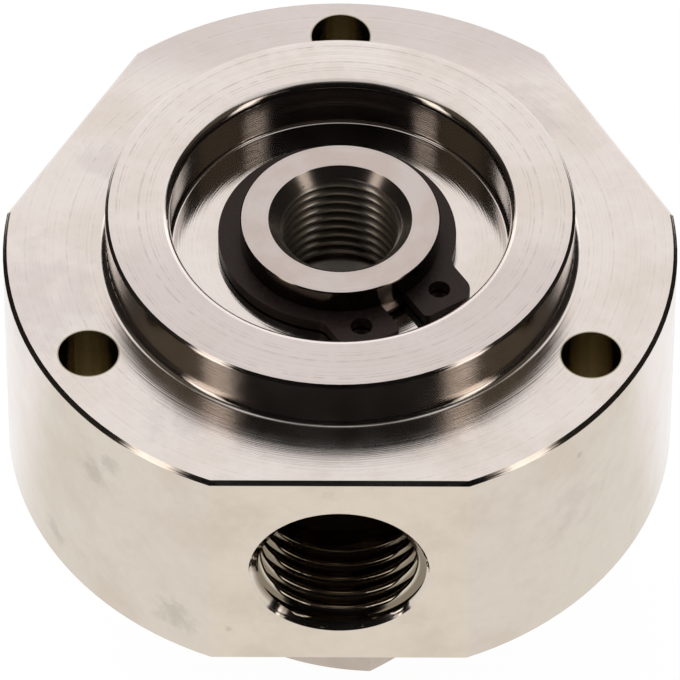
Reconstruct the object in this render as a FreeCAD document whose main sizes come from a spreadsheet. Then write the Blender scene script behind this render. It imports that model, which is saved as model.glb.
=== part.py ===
import FreeCAD, Part
import math
import os
import Sketcher

# Hydraulic rotary union with one passage, in millimetres.
# The frame's origin is on the rotor's axis in the flange face, with +Z towards the
# spigot and the side port on the -Y side. The housing stands still and the rotor turns.

# Driving sizes
SIZES = {
    "body_dia": 54.0,
    "body_height": 21.7,
    "flat_depth": 2.0,
    "flat_count": 3,
    "edge_chamfer": 0.32,
    "spigot_dia": 37.5,
    "spigot_height": 4.35,
    "spigot_chamfer": 0.25,
    "recess_dia": 27.2,
    "recess_depth": 4.4,
    "recess_chamfer": 0.7,
    "bolt_inset": 4.0,
    "bolt_hole": 4.8,
    "journal_dia": 16.0,
    "bore_gap": 0.1,
    "bore_lead": 0.3,
    "chamber_width": 4.6,
    "chamber_room": 2.4,
    "land_width": 1.0,
    "seal_width": 2.2,
    "seal_room": 2.45,
    "seal_thickness": 0.95,
    "rubber_gap": 0.01,
    "rubber_bulge": 0.45,
    "guide_width": 2.5,
    "guide_room": 1.45,
    "guide_slit": 1.2,
    "side_gap": 0.06,
    "slide_gap": 0.03,
    "port_thread": 14.0,
    "port_mouth": 14.4,
    "port_depth": 10.2,
    "channel_dia": 4.0,
    "drill_angle": 118.0,
    "outlet_thread": 10.0,
    "outlet_mouth": 11.5,
    "outlet_depth": 10.0,
    "nose_height": 3.3,
    "nose_chamfer": 0.1,
    "core_bore": 6.0,
    "core_below": 3.0,
    "cross_hole": 4.0,
    "cross_count": 4,
    "washer_inset": 0.2,
    "washer_thickness": 1.0,
    "collar_dia": 24.0,
    "collar_height": 3.0,
    "collar_chamfer": 0.4,
    "shank_dia": 18.0,
    "hex_width": 19.0,
    "hex_height": 11.0,
    "hex_face": 18.2,
    "rotor_reach": 41.65,
    "rotor_turn": 13.5,
    "ring_lift": 0.15,
    "ring_thickness": 1.0,
    "groove_dia": 15.2,
    "groove_play": 0.05,
    "ring_gap": 0.02,
    "ring_outer": 19.05,
    "ring_offset": 0.45,
    "ring_opening": 2.3,
    "lug_reach": 10.9,
    "lug_span": 12.0,
    "lug_root": 5.0,
    "lug_corner": 1.5,
    "opening_corner": 0.5,
    "lug_hole": 1.75,
    "lug_hole_reach": 8.95,
    "lug_hole_span": 7.34,
    "ring_turn": 32.5,
}

# The hexagon's turned corners: their slope, and a radius beyond them as a share of its width
CHAMFER_SLOPE = math.tan(math.radians(30))
HEX_MARGIN = 0.65
ROOT_THREE = math.sqrt(3)
NEAR = 1e-4

doc = FreeCAD.newDocument("rotary_union")
sheet = doc.addObject("Spreadsheet::Sheet", "Sizes")
for row, (alias, number) in enumerate(SIZES.items(), start=1):
    sheet.set(f"A{row}", alias)
    sheet.set(f"B{row}", str(number))
    sheet.setAlias(f"B{row}", alias)
doc.recompute()


class Size:
    """A length that knows its value and the spreadsheet expression that gives it."""

    def __init__(self, text, value):
        self.text = text
        self.value = value

    def combine(self, other, sign, value):
        text = other.text if isinstance(other, Size) else repr(other)
        return Size(f"({self.text} {sign} {text})", value)

    def __add__(self, other):
        return self.combine(other, "+", self.value + number_of(other))

    def __sub__(self, other):
        return self.combine(other, "-", self.value - number_of(other))

    def __mul__(self, other):
        return self.combine(other, "*", self.value * number_of(other))

    def __truediv__(self, other):
        return self.combine(other, "/", self.value / number_of(other))

    def __neg__(self):
        return Size(f"(0 - {self.text})", -self.value)


def number_of(item):
    return item.value if isinstance(item, Size) else item


def size(alias):
    """The named driving size."""
    return Size(f"Sizes.{alias}", float(SIZES[alias]))


ZERO = Size("0", 0.0)


# Sketches and features

def new_body(label):
    body = doc.addObject("PartDesign::Body", label)
    body.Label = label
    return body


def origin_item(body, role):
    return next(item for item in body.Origin.OriginFeatures if item.Role == role)


def new_sketch(body, name, plane, height=None):
    """A sketch on one of the body's own planes, lifted along the plane's normal."""
    sketch = body.newObject("Sketcher::SketchObject", name)
    sketch.AttachmentSupport = [(origin_item(body, plane), "")]
    sketch.MapMode = "FlatFace"
    if height is not None:
        sketch.setExpression("AttachmentOffset.Base.z", height.text)
    return sketch


def tie(sketch, constraint, length):
    """Adds a constraint whose value follows the sheet."""
    number = sketch.addConstraint(constraint)
    sketch.setExpression(f"Constraints[{number}]", length.text)


def tie_point(sketch, edge, end, across, up):
    """Ties one end of an edge to its two distances from the sketch's origin."""
    for kind, length in (("DistanceX", across), ("DistanceY", up)):
        tie(sketch, Sketcher.Constraint(kind, -1, 1, edge, end, length.value), length)


def outline(sketch, points):
    """A closed outline of straight lines through (across, up) pairs of sizes."""
    vectors = [FreeCAD.Vector(across.value, up.value, 0) for across, up in points]
    count = len(points)
    for i in range(count):
        sketch.addGeometry(Part.LineSegment(vectors[i], vectors[(i + 1) % count]), False)
    for i in range(count):
        sketch.addConstraint(Sketcher.Constraint("Coincident", i, 2, (i + 1) % count, 1))
        tie_point(sketch, i, 1, points[i][0], points[i][1])


def circle(sketch, across, up, diameter):
    centre = FreeCAD.Vector(across.value, up.value, 0)
    edge = sketch.addGeometry(
        Part.Circle(centre, FreeCAD.Vector(0, 0, 1), diameter.value / 2), False)
    tie_point(sketch, edge, 3, across, up)
    tie(sketch, Sketcher.Constraint("Diameter", edge, diameter.value), diameter)


def turned(body, kind, name, points):
    """A Revolution or Groove about the Z axis, from (radius, height) pairs."""
    before = body.Shape.Volume if kind == "Groove" else None
    sketch = new_sketch(body, f"{name}_profile", "XZ_Plane")
    outline(sketch, points)
    spin(body, kind, name, sketch, "V_Axis", before)


def spin(body, kind, name, sketch, axis, before):
    turn = body.newObject(f"PartDesign::{kind}", name)
    turn.Profile = sketch
    turn.ReferenceAxis = (sketch, [axis])
    turn.Angle = 360
    doc.recompute()
    if before is not None:
        check_cut(body, name, before)


def padded(body, name, sketch, length):
    pad = body.newObject("PartDesign::Pad", name)
    pad.Profile = sketch
    pad.setExpression("Length", length.text)
    doc.recompute()


def cut(body, name, sketch, length=None):
    """A pocket of the given length, or one that goes through on both sides of its sketch."""
    before = body.Shape.Volume
    pocket = body.newObject("PartDesign::Pocket", name)
    pocket.Profile = sketch
    if length is None:
        pocket.Type = "ThroughAll"
        pocket.Midplane = True
    else:
        pocket.setExpression("Length", length.text)
    doc.recompute()
    check_cut(body, name, before)
    return pocket


def check_cut(body, name, before):
    if body.Shape.Volume > before - NEAR:
        raise RuntimeError(f"{name} cuts nothing")


def around(body, name, feature, count):
    """Copies of a feature, evenly spaced about the Z axis."""
    pattern = body.newObject("PartDesign::PolarPattern", name)
    pattern.Originals = [feature]
    pattern.Axis = (origin_item(body, "Z_Axis"), [""])
    pattern.Angle = 360
    pattern.setExpression("Occurrences", count.text)
    body.Tip = pattern
    doc.recompute()


def dressed(body, kind, name, length, test):
    """A chamfer or fillet on every edge of the body that passes the test."""
    edges = body.Shape.Edges
    names = [f"Edge{i}" for i, edge in enumerate(edges, start=1) if test(edge)]
    base = body.Tip
    feature = body.newObject(f"PartDesign::{kind}", name)
    feature.Base = (base, names)
    feature.setExpression("Size" if kind == "Chamfer" else "Radius", length.text)
    doc.recompute()


def middle(edge):
    return edge.valueAt((edge.FirstParameter + edge.LastParameter) / 2)


def reach(point):
    """Distance from the rotor's axis."""
    return math.hypot(point.x, point.y)


def is_level(edge, height):
    box = edge.BoundBox
    return abs(box.ZMin - height.value) < NEAR and abs(box.ZMax - height.value) < NEAR


def is_upright(edge):
    box = edge.BoundBox
    return box.ZLength > NEAR and box.XLength < NEAR and box.YLength < NEAR


def turn_about_z(alias):
    """The placement of a piece that stands turned about the rotor's axis."""
    return FreeCAD.Placement(FreeCAD.Vector(), FreeCAD.Rotation(FreeCAD.Vector(0, 0, 1), SIZES[alias]))


# Places shared by several pieces
body_radius = size("body_dia") / 2
body_bottom = -size("body_height")
flat_distance = body_radius - size("flat_depth")
spigot_radius = size("spigot_dia") / 2
spigot_top = size("spigot_height")
recess_radius = size("recess_dia") / 2
floor_height = size("spigot_height") - size("recess_depth")
journal_radius = size("journal_dia") / 2
bore_radius = journal_radius + size("bore_gap")
port_height = -(size("body_height") / 2)
drill_slope = math.tan(math.radians(SIZES["drill_angle"] / 2))

# Grooves in the bore, measured outwards from the middle of the chamber
chamber_radius = journal_radius + size("chamber_room")
chamber_half = size("chamber_width") / 2
seal_near = chamber_half + size("land_width")
seal_far = seal_near + size("seal_width")
seal_seat = journal_radius + size("seal_room")
guide_near = seal_far + size("land_width")
guide_far = guide_near + size("guide_width")
guide_seat = journal_radius + size("guide_room")
SIDES = {"upper": 1, "lower": -1}


# Housing: turned from bar, with three milled flats, the bolt holes and the side port
def make_housing():
    body = new_body("housing")
    edge = size("spigot_chamfer")
    turned(body, "Revolution", "blank", [
        (ZERO, body_bottom),
        (body_radius, body_bottom),
        (body_radius, ZERO),
        (spigot_radius, ZERO),
        (spigot_radius, spigot_top - edge),
        (spigot_radius - edge, spigot_top),
        (ZERO, spigot_top),
    ])

    mouth = size("recess_chamfer")
    turned(body, "Groove", "recess", [
        (ZERO, floor_height),
        (recess_radius, floor_height),
        (recess_radius, spigot_top - mouth),
        (recess_radius + mouth, spigot_top),
        (ZERO, spigot_top),
    ])

    sketch = new_sketch(body, "flat_outline", "XY_Plane")
    outline(sketch, [
        (-body_radius, -flat_distance),
        (body_radius, -flat_distance),
        (body_radius, -body_radius),
        (-body_radius, -body_radius),
    ])
    around(body, "flats", cut(body, "flat", sketch), size("flat_count"))

    def outer_rim(item):
        level = is_level(item, ZERO) or is_level(item, body_bottom)
        return level and reach(middle(item)) > flat_distance.value - NEAR

    dressed(body, "Chamfer", "rim_chamfer", size("edge_chamfer"), outer_rim)

    sketch = new_sketch(body, "bolt_hole_outline", "XY_Plane")
    circle(sketch, ZERO, body_radius - size("bolt_inset"), size("bolt_hole"))
    around(body, "bolt_holes", cut(body, "bolt_hole", sketch), size("flat_count"))

    lead = size("bore_lead")
    turned(body, "Groove", "bore", [
        (ZERO, body_bottom),
        (bore_radius + lead, body_bottom),
        (bore_radius, body_bottom + lead),
        (bore_radius, floor_height - lead),
        (bore_radius + lead, floor_height),
        (ZERO, floor_height),
    ])
    ring_groove(body, "chamber", chamber_radius, port_height - chamber_half, port_height + chamber_half)
    for side, sign in SIDES.items():
        ring_groove(body, f"{side}_seal_groove", seal_seat, port_height + seal_near * sign,
                    port_height + seal_far * sign)
        ring_groove(body, f"{side}_guide_groove", guide_seat, port_height + guide_near * sign,
                    port_height + guide_far * sign)
    side_port(body)
    return body


def ring_groove(body, name, seat, start, end):
    """A square groove in the housing's bore, out to the radius of its seat."""
    turned(body, "Groove", name, [(ZERO, start), (seat, start), (seat, end), (ZERO, end)])


def side_port(body):
    """The countersunk thread bore in the front flat, with its channel to the chamber."""
    face = -flat_distance
    thread = size("port_thread") / 2
    mouth = size("port_mouth") / 2
    channel = size("channel_dia") / 2
    bottom = face + size("port_depth")
    channel_end = -(bore_radius + chamber_radius) / 2
    before = body.Shape.Volume
    sketch = new_sketch(body, "port_profile", "YZ_Plane")
    outline(sketch, [
        (-body_radius, port_height),
        (-body_radius, port_height + mouth),
        (face, port_height + mouth),
        (face + (mouth - thread), port_height + thread),
        (bottom, port_height + thread),
        (bottom + (thread - channel) / drill_slope, port_height + channel),
        (channel_end, port_height + channel),
        (channel_end, port_height),
    ])
    number = sketch.addGeometry(Part.LineSegment(
        FreeCAD.Vector(-body_radius.value, port_height.value, 0),
        FreeCAD.Vector(0, port_height.value, 0)), True)
    tie_point(sketch, number, 1, -body_radius, port_height)
    tie_point(sketch, number, 2, ZERO, port_height)
    spin(body, "Groove", "side_port", sketch, "Axis0", before)


# Rotor: one turned shaft with the outlet thread in its nose and a milled hexagon at its foot
washer_top = body_bottom - size("side_gap")
washer_bottom = washer_top - size("washer_thickness")
collar_top = washer_bottom - size("side_gap")
rotor_bottom = -size("rotor_reach")
hex_top = rotor_bottom + size("hex_height")
ring_bottom = floor_height + size("ring_lift")
ring_top = ring_bottom + size("ring_thickness")


def make_rotor():
    body = new_body("rotor")
    collar = size("collar_dia") / 2
    collar_bottom = collar_top - size("collar_height")
    edge = size("collar_chamfer")
    nose_edge = size("nose_chamfer")
    nose_top = size("nose_height")
    neck = size("groove_dia") / 2
    turned(body, "Revolution", "shaft", [
        (ZERO, hex_top),
        (size("shank_dia") / 2, hex_top),
        (size("shank_dia") / 2, collar_bottom),
        (collar - edge, collar_bottom),
        (collar, collar_bottom + edge),
        (collar, collar_top),
        (journal_radius, collar_top),
        (journal_radius, ring_bottom - size("groove_play")),
        (neck, ring_bottom - size("groove_play")),
        (neck, ring_top + size("groove_play")),
        (journal_radius, ring_top + size("groove_play")),
        (journal_radius, nose_top - nose_edge),
        (journal_radius - nose_edge, nose_top),
        (ZERO, nose_top),
    ])
    hexagon(body)

    mouth = size("outlet_mouth") / 2
    thread = size("outlet_thread") / 2
    core = size("core_bore") / 2
    thread_end = nose_top - size("outlet_depth")
    core_end = port_height - size("core_below")
    turned(body, "Groove", "outlet", [
        (ZERO, nose_top),
        (mouth, nose_top),
        (thread, nose_top - (mouth - thread)),
        (thread, thread_end),
        (core, thread_end - (thread - core) / drill_slope),
        (core, core_end),
        (ZERO, core_end - core / drill_slope),
    ])

    sketch = new_sketch(body, "cross_hole_outline", "XZ_Plane")
    circle(sketch, ZERO, port_height, size("cross_hole"))
    hole = cut(body, "cross_hole", sketch, size("journal_dia"))
    around(body, "cross_holes", hole, size("cross_count"))
    body.Placement = turn_about_z("rotor_turn")
    return body


def hexagon(body):
    """The wrench hexagon, with its corners turned to 30 degrees at both ends."""
    half = size("hex_width") / 2
    corner = size("hex_width") / ROOT_THREE
    sketch = new_sketch(body, "hexagon_outline", "XY_Plane", rotor_bottom)
    outline(sketch, [
        (ZERO, -corner),
        (half, -corner / 2),
        (half, corner / 2),
        (ZERO, corner),
        (-half, corner / 2),
        (-half, -corner / 2),
    ])
    padded(body, "hexagon", sketch, size("hex_height"))
    face = size("hex_face") / 2
    outside = size("hex_width") * HEX_MARGIN
    drop = (outside - face) * CHAMFER_SLOPE
    for name, end, height in (("lower", rotor_bottom, drop), ("upper", hex_top, -drop)):
        turned(body, "Groove", f"{name}_corner_chamfer", [
            (face, end),
            (outside, end),
            (outside, end + height),
        ])


# Retaining ring: a tapering spring-steel ring with two holed lugs, sprung into the rotor's groove
def make_retaining_ring():
    body = new_body("retaining_ring")
    thickness = size("ring_thickness")
    sketch = new_sketch(body, "beam_outline", "XY_Plane", ring_bottom)
    circle(sketch, ZERO, size("ring_offset"), size("ring_outer"))
    padded(body, "beam", sketch, thickness)

    half = size("lug_span") / 2
    sketch = new_sketch(body, "lug_outline", "XY_Plane", ring_bottom)
    outline(sketch, [
        (-half, -size("lug_reach")),
        (half, -size("lug_reach")),
        (half, -size("lug_root")),
        (-half, -size("lug_root")),
    ])
    padded(body, "lugs", sketch, thickness)
    dressed(body, "Fillet", "lug_corners", size("lug_corner"),
            lambda item: is_upright(item) and abs(abs(middle(item).x) - half.value) < NEAR)

    sketch = new_sketch(body, "ring_bore_outline", "XY_Plane", ring_bottom)
    circle(sketch, ZERO, ZERO, size("groove_dia") + size("ring_gap") * 2)
    cut(body, "ring_bore", sketch)

    gap = size("ring_opening") / 2
    sketch = new_sketch(body, "opening_outline", "XY_Plane", ring_bottom)
    outline(sketch, [
        (-gap, -size("lug_reach")),
        (gap, -size("lug_reach")),
        (gap, ZERO),
        (-gap, ZERO),
    ])
    cut(body, "opening", sketch)
    dressed(body, "Fillet", "opening_corners", size("opening_corner"),
            lambda item: is_upright(item) and abs(middle(item).y + size("lug_reach").value) < NEAR
            and abs(abs(middle(item).x) - gap.value) < NEAR)

    sketch = new_sketch(body, "lug_hole_outline", "XY_Plane", ring_bottom)
    for sign in (-1, 1):
        circle(sketch, size("lug_hole_span") / 2 * sign, -size("lug_hole_reach"), size("lug_hole"))
    cut(body, "lug_holes", sketch)
    body.Placement = turn_about_z("ring_turn")
    return body


# Thrust washer between the housing's foot and the rotor's collar
def make_thrust_washer():
    body = new_body("thrust_washer")
    outer = size("collar_dia") / 2 - size("washer_inset")
    turned(body, "Revolution", "washer", [
        (bore_radius, washer_bottom),
        (outer, washer_bottom),
        (outer, washer_top),
        (bore_radius, washer_top),
    ])
    return body


# Guide rings: split strips of filled plastic that carry the rotor in the housing's bore
def make_guide_ring(side, sign):
    body = new_body(f"{side}_guide_ring")
    inner = journal_radius + size("slide_gap")
    outer = guide_seat - size("slide_gap")
    near = port_height + (guide_near + size("side_gap")) * sign
    far = port_height + (guide_far - size("side_gap")) * sign
    turned(body, "Revolution", "strip", [(inner, near), (outer, near), (outer, far), (inner, far)])

    slit = size("guide_slit")
    sketch = new_sketch(body, "slit_outline", "YZ_Plane")
    outline(sketch, [
        (-slit, near),
        (ZERO, near),
        (slit, far),
        (ZERO, far),
    ])
    cut(body, "slit", sketch, guide_seat + size("guide_room"))
    return body


# Seals: a slippery ring that runs on the rotor, pressed inwards by a rubber ring behind it
seal_back = journal_radius + size("slide_gap") + size("seal_thickness")


def make_seal_ring(side, sign):
    body = new_body(f"{side}_seal_ring")
    inner = journal_radius + size("slide_gap")
    near = port_height + (seal_near + size("side_gap")) * sign
    far = port_height + (seal_far - size("side_gap")) * sign
    turned(body, "Revolution", "seal", [(inner, near), (seal_back, near), (seal_back, far), (inner, far)])
    return body


def make_energiser(side, sign):
    """A rubber ring, squeezed flat between the seal ring and its groove, with bulging sides."""
    body = new_body(f"{side}_seal_energiser")
    inner = seal_back + size("rubber_gap")
    outer = seal_seat - size("rubber_gap")
    bulge = size("rubber_bulge")
    near = port_height + (seal_near + size("side_gap")) * sign
    far = port_height + (seal_far - size("side_gap")) * sign
    turned(body, "Revolution", "squeezed_ring", [
        (inner, near + bulge * sign),
        ((inner + outer) / 2, near),
        (outer, near + bulge * sign),
        (outer, far - bulge * sign),
        ((inner + outer) / 2, far),
        (inner, far - bulge * sign),
    ])
    return body


def make_all():
    bodies = [make_housing(), make_rotor(), make_retaining_ring(), make_thrust_washer()]
    for side, sign in SIDES.items():
        bodies += [make_guide_ring(side, sign), make_seal_ring(side, sign), make_energiser(side, sign)]
    return bodies


def check_document():
    """Stops on any feature that failed to rebuild."""
    for item in doc.Objects:
        if "Invalid" in item.State or "Error" in item.State:
            raise RuntimeError(f"{item.Label} did not rebuild: {item.State}")


def write_steps(bodies):
    os.makedirs("parts", exist_ok=True)
    for body in bodies:
        if body.Shape.isNull() or not body.Shape.isValid():
            raise RuntimeError(f"{body.Label} has no valid shape")
        print(body.Label, len(body.Shape.Solids), "solid", round(body.Shape.Volume, 1), "mm3")
    for body in bodies:
        body.Shape.exportStep(f"parts/{body.Label}.step")


pieces = make_all()
doc.recompute()
check_document()
write_steps(pieces)
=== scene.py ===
"""A hydraulic rotary union: a flanged, plated steel housing that is bolted on, and a rotor that
turns in it and is held by a retaining ring. Sizes are millimetres unless a name says otherwise."""
import math

import bmesh
import bpy
from mathutils import Matrix, Vector


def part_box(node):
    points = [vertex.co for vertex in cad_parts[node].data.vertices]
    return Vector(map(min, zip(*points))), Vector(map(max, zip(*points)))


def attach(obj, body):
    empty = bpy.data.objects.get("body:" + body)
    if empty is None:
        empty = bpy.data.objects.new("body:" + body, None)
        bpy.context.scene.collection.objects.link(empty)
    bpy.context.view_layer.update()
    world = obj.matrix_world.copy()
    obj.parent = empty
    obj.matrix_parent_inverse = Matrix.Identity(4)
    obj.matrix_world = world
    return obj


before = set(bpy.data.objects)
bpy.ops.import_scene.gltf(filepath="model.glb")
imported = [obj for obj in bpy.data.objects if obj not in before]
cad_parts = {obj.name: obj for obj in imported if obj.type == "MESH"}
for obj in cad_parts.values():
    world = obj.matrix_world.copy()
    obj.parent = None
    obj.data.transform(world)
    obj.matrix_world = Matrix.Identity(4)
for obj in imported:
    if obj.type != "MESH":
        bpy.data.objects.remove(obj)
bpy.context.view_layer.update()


# Housing. One bar of steel, turned in a lathe, milled with three flats, drilled, tapped and then
# plated with bright nickel. The tool's fine rings show on its faces and as lines round its walls.
MM = 0.001
BOLT_CIRCLE_RADIUS = 23.0
BOLT_ANGLES = (90.0, 210.0, 330.0)
BOLT_HOLE_WALL = 2.5
FLAT_ANGLES = (270.0, 30.0, 150.0)
FLAT_FROM = 24.97
SPIGOT_WALL = 19.0
SPIGOT_FACE_FROM = 4.2
FLANGE_FACE_TO = 0.1
FLANGE_EDGE_REACH = (26.66, 26.72)
FLANGE_EDGE_HEIGHT = (-0.34, -0.28)
RECESS_EDGE = (13.4, 13.8)
RECESS_WALL = 13.72
RECESS_WALL_HEIGHT = (0.0, 0.2)
PORT_HEIGHT = -10.85
PORT_WALL = 7.35
PORT_EDGE = -24.85
PORT_EDGE_WIDTH = 0.55
PORT_CONE_END = (-24.75, -24.6)
PORT_SIDE = -10.0
TAPPED_DEPTH = (-24.5, -20.0)
TAPPED_ROOT_REACH = (6.22, 6.5)
LEVEL_FROM = 0.7
RINGS_PER_MM = 7.0
RING_DEPTH = 0.015
RING_SMEAR = 0.55
FLANGE_RINGS = 0.55
SPIGOT_RINGS = 0.8
WALL_LINES = 0.5
RECESS_SHARE = 0.4
FEED_MARKS_PER_MM = 4.5
FLANGE_FEED_MARKS = 0.35
SPIGOT_FEED_MARKS = 0.52
FEED_MARK_CUT = (0.46, 0.7)
FEED_MARK_SHARE = 0.6
STREAKS_PER_MM = 1.1
PLATE_ROUGHNESS = 0.15
POLISHED_ROUGHNESS = 0.085
WORN_ROUGHNESS = 0.02
WEAR_PER_MM = 0.3
NOISE_SPAN = (0.3, 0.7)
PLATE_COLOUR = "E6DCD6"
FLAT_COLOUR = "E9DDD4"
CLOUD_COLOUR = "DCD0C6"
CLOUDS_PER_MM = 0.12
CLOUD_CUT = (0.42, 0.68)
CLOUD_SHARE = 0.8
GROOVE_COLOUR = "A99D96"
FILM_AND_SHADE_COLOUR = "CBBEBB"
SMUDGE_COLOUR = "A79F97"
RECESS_WALL_SHADE_COLOUR = "B4ACA7"
BOLT_HOLE_COLOUR = "B1A893"
TAPPED_COLOUR = "E8DED2"
TAPPED_DEPTH_SHADE_COLOUR = "A09280"
TAPPED_ROOT_SHADE_COLOUR = "8C8173"
FILM_SHARE = 0.4
WIDE_DARKENING_SHARE = 0.6
FILM_EDGE_PER_MM = 0.5
FRONT_SHADE_RUN = (0.0, -8.0)
BACK_DARKENING_RUN = (17.0, 22.0)
SMUDGE_SHARE = 0.35
SMUDGE_EDGE_PER_MM = 0.9
SPOT_RAGGED = 2.0
SPOT_CUT = (1.9, 1.1)
HANDLING_FILMS = (
    ((-24.0, -6.0, 0.0), 8.5), ((-19.5, 9.0, 0.0), 3.0), ((-12.5, -18.0, 0.0), 4.0),
    ((9.0, -20.5, 0.0), 1.6), ((14.0, 14.0, 0.0), 6.0), ((20.0, -21.0, -9.0), 5.0))
SMUDGES = (
    ((-19.6, -18.6, -6.0), 2.2), ((-18.1, -20.0, -3.6), 1.4), ((-22.9, -14.3, -18.3), 2.0),
    ((-13.1, -23.6, -17.8), 2.6), ((-8.8, -25.0, -17.9), 0.5), ((19.0, -19.2, -3.2), 0.5))


def linear(hex_colour):
    """An sRGB hex colour as the linear red, green, blue and alpha that shaders take."""
    parts = [int(hex_colour[i:i + 2], 16) / 255.0 for i in (0, 2, 4)]
    low_end = 0.04045
    turned = [v / 12.92 if v <= low_end else ((v + 0.055) / 1.055) ** 2.4 for v in parts]
    return (*turned, 1.0)


def add_node(tree, kind, inputs, output=0, **settings):
    """Adds a node with its settings and links, and gives back one output; texts are hex colours."""
    node = tree.nodes.new(kind)
    for name, value in settings.items():
        setattr(node, name, value)
    for name, value in inputs.items():
        if isinstance(value, bpy.types.NodeSocket):
            tree.links.new(value, node.inputs[name])
        else:
            node.inputs[name].default_value = linear(value) if isinstance(value, str) else value
    return node.outputs[output] if node.outputs else None


def new_material(name):
    """An empty node material, and the tree to build in."""
    material = bpy.data.materials.new(name)
    material.use_nodes = True
    material.node_tree.nodes.clear()
    return material, material.node_tree


def surface_place(tree):
    """The place on the piece, in millimetres."""
    coordinates = add_node(tree, "ShaderNodeTexCoord", {}, "Object")
    return add_node(tree, "ShaderNodeVectorMath", {0: coordinates, 1: (1.0 / MM,) * 3},
                    operation="MULTIPLY")


def level_place(tree, place):
    """The place with its height taken off."""
    return add_node(tree, "ShaderNodeVectorMath", {0: place, 1: (1.0, 1.0, 0.0)},
                    operation="MULTIPLY")


def reach_and_height(tree, place):
    """How far from the rotor's axis a place lies, and how high."""
    level = level_place(tree, place)
    reach = add_node(tree, "ShaderNodeVectorMath", {0: level}, "Value", operation="LENGTH")
    height = add_node(tree, "ShaderNodeSeparateXYZ", {0: place}, "Z")
    return reach, height


def lathe_grooves(tree, reach, height, per_mm, on_faces, on_walls):
    """The tool's grooves, 0 to 1: rings where the surface is level, lines round a wall."""
    normal = add_node(tree, "ShaderNodeTexCoord", {}, "Normal")
    tilt = add_node(tree, "ShaderNodeSeparateXYZ", {0: normal}, "Z")
    slope = add_node(tree, "ShaderNodeMath", {0: tilt}, operation="ABSOLUTE")
    faced = add_node(tree, "ShaderNodeMath", {0: slope, 1: LEVEL_FROM}, operation="GREATER_THAN")
    run = add_node(tree, "ShaderNodeMix", {"Factor": faced, 2: height, 3: reach})
    cut = add_node(tree, "ShaderNodeTexNoise", {"W": run, "Scale": per_mm, "Detail": 3.0,
                                                "Roughness": 0.6}, noise_dimensions="1D")
    share = add_node(tree, "ShaderNodeMix", {"Factor": faced, 2: on_walls, 3: on_faces})
    return add_node(tree, "ShaderNodeMix", {"Factor": share, 2: 0.5, 3: cut})


def grooved_metal(tree, colour, roughness, grooves, depth_mm, smear):
    """Turned metal: its grooves spread what it mirrors across their run, and not along it."""
    grooved = add_node(tree, "ShaderNodeBump", {"Height": grooves, "Distance": depth_mm * MM,
                                                "Strength": 1.0})
    around = add_node(tree, "ShaderNodeTangent", {}, direction_type="RADIAL", axis="Z")
    shader = add_node(tree, "ShaderNodeBsdfPrincipled", {
        "Metallic": 1.0, "Anisotropic": smear, "Anisotropic Rotation": 0.25, "Normal": grooved,
        "Tangent": around, "Roughness": roughness, "Base Color": colour})
    add_node(tree, "ShaderNodeOutputMaterial", {"Surface": shader})


def nearness(tree, place, spots, ragged):
    """How far into the nearest of some round spots a place lies: 1 well inside, 0 outside all."""
    deepest = None
    for centre, radius in spots:
        gap = add_node(tree, "ShaderNodeVectorMath", {0: place, 1: centre}, "Value",
                       operation="DISTANCE")
        gap = add_node(tree, "ShaderNodeMath", {0: gap, 1: 1.0 / radius}, operation="MULTIPLY")
        deepest = gap if deepest is None else add_node(
            tree, "ShaderNodeMath", {0: deepest, 1: gap}, operation="MINIMUM")
    torn = add_node(tree, "ShaderNodeMath", {0: ragged, 1: SPOT_RAGGED, 2: deepest},
                    operation="MULTIPLY_ADD")
    return add_node(tree, "ShaderNodeMapRange", {0: torn, 1: SPOT_CUT[0], 2: SPOT_CUT[1]},
                    interpolation_type="SMOOTHSTEP")


def on_flats(tree, level):
    """1 on the three milled flats, 0 elsewhere."""
    farthest = None
    for angle in FLAT_ANGLES:
        turn = math.radians(angle)
        out = add_node(tree, "ShaderNodeVectorMath", {
            0: level, 1: (math.cos(turn), math.sin(turn), 0.0)}, "Value", operation="DOT_PRODUCT")
        farthest = out if farthest is None else add_node(
            tree, "ShaderNodeMath", {0: farthest, 1: out}, operation="MAXIMUM")
    return add_node(tree, "ShaderNodeMath", {0: farthest, 1: FLAT_FROM}, operation="GREATER_THAN")


def in_bolt_holes(tree, level):
    """1 inside the three bolt holes, 0 elsewhere."""
    nearest = None
    for angle in BOLT_ANGLES:
        turn = math.radians(angle)
        centre = (BOLT_CIRCLE_RADIUS * math.cos(turn), BOLT_CIRCLE_RADIUS * math.sin(turn), 0.0)
        gap = add_node(tree, "ShaderNodeVectorMath", {0: level, 1: centre}, "Value",
                       operation="DISTANCE")
        nearest = gap if nearest is None else add_node(
            tree, "ShaderNodeMath", {0: nearest, 1: gap}, operation="MINIMUM")
    return add_node(tree, "ShaderNodeMath", {0: nearest, 1: BOLT_HOLE_WALL}, operation="LESS_THAN")


def clouded_plate(tree, place, level):
    """The clean plate's colour: a little warmer on the milled flats, with wide soft clouds."""
    colour = add_node(tree, "ShaderNodeMix", {
        "Factor": on_flats(tree, level), 6: PLATE_COLOUR, 7: FLAT_COLOUR}, 2, data_type="RGBA")
    clouds = add_node(tree, "ShaderNodeTexNoise", {
        "Vector": place, "Scale": CLOUDS_PER_MM, "Detail": 6.0, "Roughness": 0.62})
    clouded = add_node(tree, "ShaderNodeMapRange", {
        0: clouds, 1: CLOUD_CUT[0], 2: CLOUD_CUT[1], 4: CLOUD_SHARE},
        interpolation_type="SMOOTHSTEP")
    return add_node(tree, "ShaderNodeMix", {"Factor": clouded, 6: colour, 7: CLOUD_COLOUR}, 2,
                    data_type="RGBA")


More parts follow.
